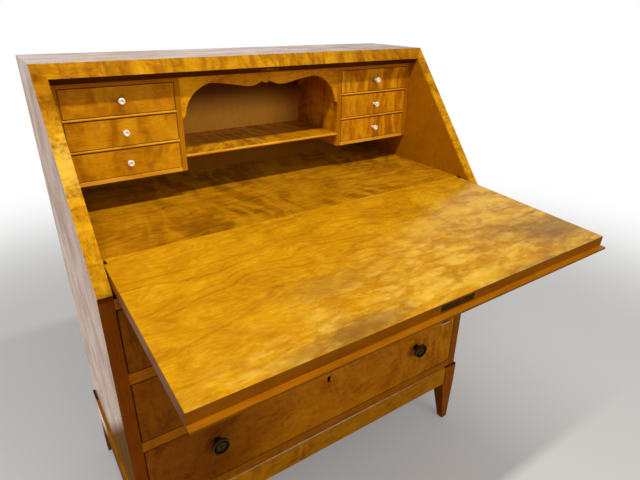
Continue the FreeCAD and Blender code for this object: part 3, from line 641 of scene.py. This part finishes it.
# painted shade: the top of each leg darkens where the case sits on it
gap_shade_foot, gap_shade_head = 0.005, 0.002
for leg in ("legs_front", "legs_back"):
    top = farthest(leg, up_z)
    wood(leg, "red", up_z, across_x, flame=0.15, cloud=0.3, lines=0.6, touches=[
        tinted(up_z, top - gap_shade_foot, top - gap_shade_head, (0.30, 0.24, 0.2, 1.0))])
low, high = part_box("apron_front")
# painted reflection: a pale line along the upper edge of the front apron
edge_reflection = ((0.0, low[1], high[2]), (0.40, 0.003, 0.0025), (0.84, 0.75, 0.58, 1.0), 1.0)
painted_reflection = spotted([edge_reflection], 0.7, (40.0, 90.0, 90.0))
for apron in ("apron_front", "apron_back"):
    wood(apron, "apron", across_x, up_z, flame=0.5, pitch=55.0, cloud=0.45, lines=0.3, touches=[painted_reflection])
wood("aprons_side", "apron", back_y, up_z, flame=0.5, pitch=55.0, cloud=0.45, lines=0.3)
wood("corner_blocks", "plain", up_z, across_x, flame=0.1)
print("dressed:", len(dressed), "boards")

# %% [markdown]
# ## Gallery
# The thin edges of the dividers, of the shelf and of the floors are rounded solid wood in a pale
# gold that is partly a painted highlight, where the round catches the light, while the front
# edges of the uprights are redder. The valance has painted light towards its left. The edge depth
# is measured from the foremost face.

# %% Gallery
rim_depth = 0.0026
# the pale gold of the rims is solid edge wood and partly a painted highlight, where their round catches the
# light
tones["rim"] = ((0.60, 0.21, 0.004, 1.0), (0.92, 0.41, 0.018, 1.0), (0.98, 0.56, 0.05, 1.0))
tones["edge"] = ((0.34, 0.110, 0.002, 1.0), (0.54, 0.190, 0.002, 1.0), (0.68, 0.27, 0.003, 1.0))
wood("valance", "flame", across_x, up_z, flame=0.30, pitch=28.0, cloud=0.5, lines=0.4, touches=[
    # painted light: the valance is brighter and yellower towards its left
    tinted(-across_x, 0.08, 0.17, (1.25, 1.40, 1.0, 1.0))])
wood("gallery_partitions", "flame", up_z, back_y, flame=0.7, pitch=45.0, cloud=0.6, touches=[
    edged("gallery_partitions", front_y, skin_depth, "edge", upright_streaks)])
for board, tone in (("gallery_floors", "rim"), ("gallery_ceilings", "edge")):
    wood(board, "flame", across_x, back_y, flame=0.3, touches=[edged(board, front_y, skin_depth, tone)])
for board in ("gallery_dividers", "gallery_shelf"):
    wood(board, "flame", across_x, back_y, flame=1.1, pitch=60.0, touches=[
        edged(board, front_y, rim_depth, "rim")])
print("dressed:", len(dressed), "boards")

# %% [markdown]
# ## Drawer boxes
# The boxes of the long drawers are plain wood, and dovetails join their sides to the fronts. The
# joint is flush, so it is drawn as colour: the pins are widest at the front, which a zigzag along
# the height against the distance from the front gives.

# %% Dovetails of the long drawers
pin_share, pin_taper, pin_soft = 0.22, 0.25, 0.0002


def dovetailed(front, foot, pitch, length):
    """Touch: pins between the tails. A pin is widest at the front, where its half width is a share of
    the pitch. The half width shrinks by the taper times the distance behind the front, and the pin
    ends at the length."""
    def touch(tree, here, colour, rough):
        axes = put(tree, "ShaderNodeSeparateXYZ", {0: here}).outputs
        behind = calc(tree, "SUBTRACT", axes["Y"], front)
        height = calc(tree, "PINGPONG", calc(tree, "SUBTRACT", axes["Z"], foot), pitch / 2)
        half = calc(tree, "SUBTRACT", pitch * pin_share, calc(tree, "MULTIPLY", behind, pin_taper))
        pin = spread(tree, calc(tree, "SUBTRACT", half, height), -pin_soft, pin_soft)
        pin = calc(tree, "MULTIPLY", pin, spread(tree, behind, length + pin_soft, length - pin_soft))
        return mix_colour(tree, calc(tree, "MULTIPLY", pin, 0.75), colour, (0.20, 0.085, 0.02, 1.0)), rough

    return touch


tail_pitch = 0.034
tail_length = 0.015
rows = ("top", "middle", "bottom")
for row in rows:
    low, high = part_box("%s_drawer_box" % row)
    wood("%s_drawer_box" % row, "plain", back_y, up_z, flame=0.1, touches=[
        dovetailed(low[1], low[2], tail_pitch, tail_length)])
print("dovetails every", tail_pitch, "m")

# %% [markdown]
# ## Drawer fronts
# The long fronts have fine upright flames and are darker to the left. A thin dark line of painted
# shade runs along their edges, where the gap around them lies in shadow, and the walls of the
# keyholes are painted black as shade. At the upper right of the lowest front lies a dark patch with
# a painted glint, a pale spot, under it.
# The small drawers have a veneered front and plain sides, parted by a plane just behind the front.
# Those on the right are cut from a more strongly rolled piece.

# %% Long drawer fronts
# a dark patch with a painted glint, a pale spot, under it, at the upper right of the lowest front
patch_and_glint_spots = [
    ((0.3900, case_front, 0.3680), (0.021, 0.02, 0.0034), (0.92, 0.88, 0.80, 1.0), 1.0),
    ((0.3885, case_front, 0.3728), (0.022, 0.02, 0.0062), (0.012, 0.008, 0.005, 1.0), 1.0),
]
patch_and_glint = spotted(patch_and_glint_spots, 0.3, (300.0, 300.0, 300.0))
key_half, key_foot, key_top = 0.0050, 0.0375, 0.0170
# the painted black shade of a keyhole starts just behind the front face and ends just past the rear one
key_start, key_end = 0.0003, 0.001
back_skin = 0.0012
# width of the painted shade along the edges of a front
gap_shade_width = 0.0018
tones["drawer"] = ((0.40, 0.105, 0.002, 1.0), (0.68, 0.215, 0.002, 1.0), (0.84, 0.32, 0.004, 1.0))
for row in rows:
    node = "%s_drawer_front" % row
    low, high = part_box(node)
    key_low = (-key_half, low[1] + key_start, high[2] - key_foot)
    key_high = (key_half, high[1] + key_end, high[2] - key_top)
    touches = [edged(node, back_y, back_skin, "plain"), keyhole_shade(key_low, key_high)]
    touches.append(gap_shaded(low, high, gap_shade_width))
    touches.append(tinted(-across_x, 0.05, 0.30, (0.46, 0.37, 0.3, 1.0)))
    if row == "bottom":
        touches.append(patch_and_glint)
    wood(node, "drawer", across_x, up_z, flame=0.70, pitch=70.0, cloud=0.55, lines=0.2, touches=touches)
print("dressed:", len(dressed), "boards")

# %% Small drawers
tones["roll"] = ((0.46, 0.132, 0.002, 1.0), (0.72, 0.275, 0.003, 1.0), (0.86, 0.41, 0.008, 1.0))
roll_shade = (0.36, 0.112, 0.002, 1.0)
small_front = 0.0103
# tone, flame, pitch and scales of the blotches
small_figures = {
    "left": ("flame", 0.45, 26.0, (26.0, 26.0, 15.0)), "right": ("roll", 1.0, 40.0, (80.0, 80.0, 20.0)),
}
for side, (tone, flame, pitch, scales) in small_figures.items():
    for row in rows:
        node = "small_drawer_%s_%s" % (side, row)
        low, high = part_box(node)
        behind_front = high[1] - low[1] - small_front
        wood(node, tone, across_x, up_z, flame=flame, pitch=pitch, cloud=0.3, lines=0.2, touches=[
            blotched(*everywhere, scales, roll_shade, 0.70), gap_shaded(low, high, gap_shade_width),
            edged(node, back_y, behind_front, "plain")])
print("dressed:", len(dressed), "boards")

# %% [markdown]
# ## Softened edges
# A cabinet maker breaks every sharp edge with fine paper, and that narrow round catches the
# light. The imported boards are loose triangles, so a weld joins their corners first and a bevel
# then rounds the edges that turn by more than its angle.

# %% Weld and bevel
def soften(node, width):
    """Joins the corners of a packed board and rounds its sharp edges by a width."""
    weld = nodes[node].modifiers.new("weld", "WELD")
    weld.merge_threshold = 0.00001
    round_edge = nodes[node].modifiers.new("round_edge", "BEVEL")
    round_edge.width = width
    round_edge.segments = 2
    round_edge.limit_method = "ANGLE"
    round_edge.angle_limit = math.radians(40.0)
    round_edge.harden_normals = True


soft_width = 0.0007
hidden = ("drawer_runners", "drawer_stops", "corner_blocks", "back_panel")
softened = [node for node in dressed if node not in hidden and not node.endswith("_drawer_box")]
for node in softened:
    soften(node, soft_width)
print("softened:", len(softened), "boards by", soft_width, "m")

# %% [markdown]
# ## Bronze, iron and cream
# The pulls are cast bronze with a dark patina that has worn bright on the rim. The locks are dull
# iron gone brown. The knobs of the small drawers are a smooth cream.

# %% Metal with a patina, and cream
def patina(name, dark, worn, rough_low, rough_high, scale, handled=False):
    """Metal whose colour and gloss drift between a dark skin and worn spots; a handled piece is worn
    where its mesh says so, by an attribute named wear."""
    made = bpy.data.materials.new(name)
    made.use_nodes = True
    tree = made.node_tree
    tree.nodes.clear()
    place = put(tree, "ShaderNodeTexCoord").outputs["Object"]
    cloud = noise(tree, place, (scale, scale, scale), 5.0, 0.62)
    grit = noise(tree, place, (scale * 9, scale * 9, scale * 9), 3.0, 0.6)
    wear = spread(tree, cloud, 0.42, 0.72)
    if handled:
        rubbed_bare = put(tree, "ShaderNodeAttribute", attribute_name="wear").outputs["Fac"]
        wear = calc(tree, "MULTIPLY", spread(tree, cloud, 0.25, 0.60, 0.5, 1.0), rubbed_bare)
    colour = mix_colour(tree, wear, dark, worn)
    bump = put(tree, "ShaderNodeBump", {"Height": grit, "Strength": 0.15, "Distance": 0.0003})
    skin = put(tree, "ShaderNodeBsdfPrincipled", {
        "Base Color": colour, "Metallic": 0.9, "Normal": bump.outputs[0],
        "Roughness": spread(tree, grit, 0.3, 0.7, rough_low, rough_high)})
    put(tree, "ShaderNodeOutputMaterial", {"Surface": skin.outputs[0]})
    return made


def cream_finish():
    """Smooth pale resin, a little yellower in patches."""
    made = bpy.data.materials.new("cream_knob")
    made.use_nodes = True
    tree = made.node_tree
    tree.nodes.clear()
    place = put(tree, "ShaderNodeTexCoord").outputs["Object"]
    cloud = noise(tree, place, (90.0, 90.0, 90.0), 4.0, 0.6)
    colour = mix_colour(tree, spread(tree, cloud, 0.3, 0.7), (1.0, 0.98, 0.86, 1.0), (0.96, 0.91, 0.72, 1.0))
    bump = put(tree, "ShaderNodeBump", {"Height": cloud, "Strength": 0.05, "Distance": 0.0003})
    rough = spread(tree, cloud, 0.3, 0.7, 0.22, 0.38)
    skin = put(tree, "ShaderNodeBsdfPrincipled", {
        "Base Color": colour, "Roughness": rough, "Normal": bump.outputs[0], "IOR": lacquer_index,
        "Subsurface Weight": 0.1, "Subsurface Radius": (0.004, 0.003, 0.002)})
    put(tree, "ShaderNodeOutputMaterial", {"Surface": skin.outputs[0]})
    return made


bronze = patina("dark_bronze", (0.045, 0.030, 0.012, 1.0), (0.46, 0.34, 0.17, 1.0), 0.28, 0.50, 60.0,
                handled=True)
iron = patina("lock_iron", (0.115, 0.098, 0.034, 1.0), (0.24, 0.195, 0.08, 1.0), 0.35, 0.6, 45.0)
cream = cream_finish()
metal_nodes = ["fall_lock", "fall_bolt", "strike_plate", "pivot_plates", "pivot_bushes"]
metal_nodes += ["%s_drawer_%s" % (row, piece) for row in rows for piece in ("lock", "bolt")]
for node in metal_nodes:
    nodes[node].data.materials.clear()
    nodes[node].data.materials.append(iron)
print("metals on", len(metal_nodes), "nodes")

# %% [markdown]
# ## Turning
# A turned piece is a profile carried round an axis. The profile passes through a few chosen
# points on a smooth curve, and the grid is angle by profile. Blender's Spin would do the same, but
# arrays keep the rings in order, so each ring can carry a value of its own, and the poles close.

# %% Turning a profile
def smooth_through(points, per_span):
    """Points on a cubic through the given points; each tangent is half the way between neighbours."""
    points = np.asarray(points, float)
    padded = np.vstack([2 * points[0] - points[1], points, 2 * points[-1] - points[-2]])
    before, start, end, after = padded[:-3], padded[1:-2], padded[2:-1], padded[3:]
    t = np.linspace(0.0, 1.0, per_span, endpoint=False)[None, :, None]
    a, b, c, d = (block[:, None, :] for block in (before, start, end, after))
    square = 2 * a - 5 * b + 4 * c - d
    cube = 3 * b - a - 3 * c + d
    curve = 0.5 * (2 * b + (c - a) * t + square * t ** 2 + cube * t ** 3)
    return np.vstack([curve.reshape(-1, points.shape[1]), points[-1:]])


def ring_faces(rings, count):
    """Quads between neighbouring rings of equal count, each ring closed on itself."""
    row = np.arange(rings - 1)[:, None] * count
    step = np.arange(count)[None, :]
    after = (step + 1) % count
    quads = np.stack([row + step, row + after, row + count + after, row + count + step], axis=-1)
    return quads.reshape(-1, 4)


def closed_rings(name, rings, first, last):
    """Closed surface of rings, an array of rings by count by 3, drawn to a pole at each end."""
    number, count = rings.shape[:2]
    step = np.arange(count)
    after = (step + 1) % count
    end = (number - 1) * count
    pole = np.full(count, number * count)
    faces = ring_faces(number, count).tolist()
    faces += np.stack([after, step, pole], axis=-1).tolist()
    faces += np.stack([end + step, end + after, pole + 1], axis=-1).tolist()
    return fill_mesh(name, np.vstack([rings.reshape(-1, 3), first, last]), faces)


def turned(name, profile, centre, count):
    """Surface of (radius, distance out) rows carried round an axis that points to the front (-Y), in a
    count of steps: x = radius cos(angle), z = radius sin(angle), y = -out."""
    angle = np.linspace(0.0, 2.0 * np.pi, count, endpoint=False)
    radius, out = profile[1:-1, :1], np.repeat(profile[1:-1, 1:], count, axis=1)
    rings = np.stack([radius * np.cos(angle), -out, radius * np.sin(angle)], axis=-1)
    poles = [(0.0, -end, 0.0) for end in profile[[0, -1], 1]]
    return closed_rings(name, rings + centre, *(np.array(pole) + centre for pole in poles))


print("helpers: smooth_through, ring_faces, closed_rings, turned")

# %% [markdown]
# ## Bronze pulls
# Each long drawer has two pulls: a foot, a waist, a wide bell and a dished face with a raised ring.
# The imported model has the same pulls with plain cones, so these finer ones take their place on the
# same drawers. Hands have rubbed the rim bright and the middle of the face a little. The wear of a
# ring is a bell curve of its radius, kept in an attribute that the bronze reads.

# %% Profile and wear of a pull
# radius and distance out, in mm
pull_points = [
    (0.0, 0.0), (7.6, 0.0), (8.4, 0.5), (8.3, 1.4), (7.0, 2.4), (5.7, 4.2), (5.2, 6.6), (5.7, 9.0),
    (7.6, 11.2), (11.6, 13.2), (15.8, 14.8), (18.4, 16.2), (19.3, 17.8), (19.5, 19.4), (19.2, 21.2),
    (18.4, 22.6), (17.4, 23.0), (16.6, 22.6), (16.1, 21.6), (15.3, 20.9), (14.0, 20.7), (13.2, 20.9),
    (12.6, 21.5), (11.9, 21.6), (11.2, 21.1), (10.0, 20.7), (7.0, 20.5), (3.5, 20.4), (0.0, 20.4),
]
span_points = 4
pull_count = 48
pull_profile = smooth_through(pull_points, span_points) / 1000.0
pull_radius, pull_out = pull_profile.T
rim_middle, rim_width = 0.0180, 0.0012
face_middle, face_width, face_share = 0.0065, 0.0045, 0.40
face_start, least_wear = 0.0195, 0.06
rim_wear = np.exp(-((pull_radius - rim_middle) / rim_width) ** 2)
face_wear = face_share * np.exp(-((pull_radius - face_middle) / face_width) ** 2)
pull_wear = np.where(pull_out > face_start, np.maximum(rim_wear, face_wear), least_wear)
rubbed_rings = np.concatenate([np.repeat(pull_wear[1:-1], pull_count), pull_wear[[0, -1]]])
print("pull: %d rings, wear up to %.2f" % (len(pull_profile) - 2, pull_wear.max()))

# %% Six pulls
pulls = []
for row in rows:
    low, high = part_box("%s_drawer_pulls" % row)
    radius = (high[2] - low[2]) / 2
    for side, x in (("left", low[0] + radius), ("right", high[0] - radius)):
        centre = (x, high[1], (low[2] + high[2]) / 2)
        pull = turned("%s_pull_%s" % (row, side), pull_profile, centre, pull_count)
        pull.data.attributes.new("wear", "FLOAT", "POINT").data.foreach_set("value", rubbed_rings)
        pull.data.materials.append(bronze)
        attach(pull, "%s_drawer" % row)
        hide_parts("%s_drawer_pulls" % row)
        pulls.append(pull)
print("pulls:", len(pulls), "with", len(pulls[0].data.polygons), "faces each")

# %% [markdown]
# ## Cream knobs
# Each small drawer has one knob, a little mushroom with a slim neck and a round pit in its end. It
# is turned in the same way as the pulls and takes the place of the plainer one.

# %% Cream knobs
# radius and distance out, in mm
knob_points = [
    (0.0, 0.0), (3.3, 0.0), (3.5, 0.4), (3.2, 1.2), (2.9, 2.6), (2.9, 4.4), (3.3, 6.4), (4.4, 8.2),
    (5.7, 9.4), (6.3, 10.8), (6.4, 12.4), (6.0, 13.9), (5.2, 14.8), (4.4, 15.0), (3.4, 14.9),
    (2.6, 14.5), (2.2, 13.6), (1.9, 12.6), (1.1, 12.0), (0.0, 12.0),
]
knob_count = 40
knob_profile = smooth_through(knob_points, span_points) / 1000.0
knobs = []
for side in ("left", "right"):
    for row in rows:
        node = "small_knob_%s_%s" % (side, row)
        low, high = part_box(node)
        middle = (low + high) / 2
        centre = (middle[0], high[1], middle[2])
        knob = turned("cream_knob_%s_%s" % (side, row), knob_profile, centre, knob_count)
        knob.data.materials.append(cream)
        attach(knob, "small_%s_%s" % (side, row))
        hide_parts(node)
        knobs.append(knob)
print("knobs:", len(knobs), "with", len(knobs[0].data.polygons), "faces each")

# %% [markdown]
# ## Screws
# Slotted screws with low round heads hold the lock plates and the strike plate. A head is cut into
# slices across its slot, and each slice is one ring: up over the dome, or along the floor of the
# slot, and back through the plate. The slices run out to a point at both ends, so the walls of
# the slot stay straight, which a round grid would not give.

# %% Head of a slotted screw
def screw_head(name, centre, across, out, radius):
    """Slices at u across the slot, of half chord c = sqrt(r^2 - u^2). The upper side of a slice is a
    dome, edge + rise (1 - (u^2 + v^2) / r^2), or the floor of the slot; the lower side lies in the plate.
    Two close slices on either side of each wall make it steep."""
    edge, rise, slot_floor, sunk, slot_half = 0.0002, 0.0004, 0.0001, 0.0002, 0.00045
    slices, slice_points = 19, 13
    u = radius * np.sin(np.linspace(-np.pi / 2, np.pi / 2, slices)[1:-1])
    walls = slot_half * np.array([-1.03, -0.97, 0.97, 1.03])
    u = np.sort(np.concatenate([u, walls]))[:, None]
    v = np.sqrt(radius ** 2 - u ** 2) * np.linspace(-1.0, 1.0, slice_points)
    dome = edge + rise * (1.0 - (u ** 2 + v ** 2) / radius ** 2)
    upper = np.where(np.abs(u) < slot_half, slot_floor, dome)
    v = np.concatenate([v, v[:, ::-1]], axis=1)[..., None]
    height = np.concatenate([upper, np.full_like(upper, -sunk)], axis=1)[..., None]
    centre, across, out = np.array(centre), np.array(across), np.array(out)
    rings = centre + u[..., None] * across + v * np.cross(across, out) + height * out
    return closed_rings(name, rings, centre - radius * across, centre + radius * across)


def middle_of(node, direction):
    """Middle of a node's corners along a direction."""
    return (farthest(node, direction) - farthest(node, -direction)) / 2


print("helpers: screw_head, middle_of")

# %% Ten screws in the plates
fall_up = Vector((0.0, -math.sin(droop), math.cos(droop)))
first_turn, turn_step = 0.6, 1.9
# node, body, way out of the plate, way across it, place of a screw from the middle, radius of its head
plates = [("fall_lock", "fall", fall_front, fall_up, 0.030, 0.0030),
          ("strike_plate", "case", -slope, across_x.cross(slope), 0.0165, 0.0024)]
plates += [("%s_drawer_lock" % row, "%s_drawer" % row, up_z, back_y, 0.0215, 0.0030) for row in rows]
screws = []
for node, body, out, level, reach, radius in plates:
    for side, sign in (("left", -1), ("right", 1)):
        turn = first_turn + turn_step * len(screws)
        centre = across_x * (middle_of(node, across_x) + sign * reach) + out * farthest(node, out)
        screw = screw_head("%s_screw_%s" % (node, side), centre + level * middle_of(node, level),
                           across_x * math.cos(turn) + level * math.sin(turn), out, radius)
        screw.data.materials.append(iron)
        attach(screw, body)
        screws.append(screw)
print("screws:", len(screws), "with", len(screws[0].data.polygons), "faces each")
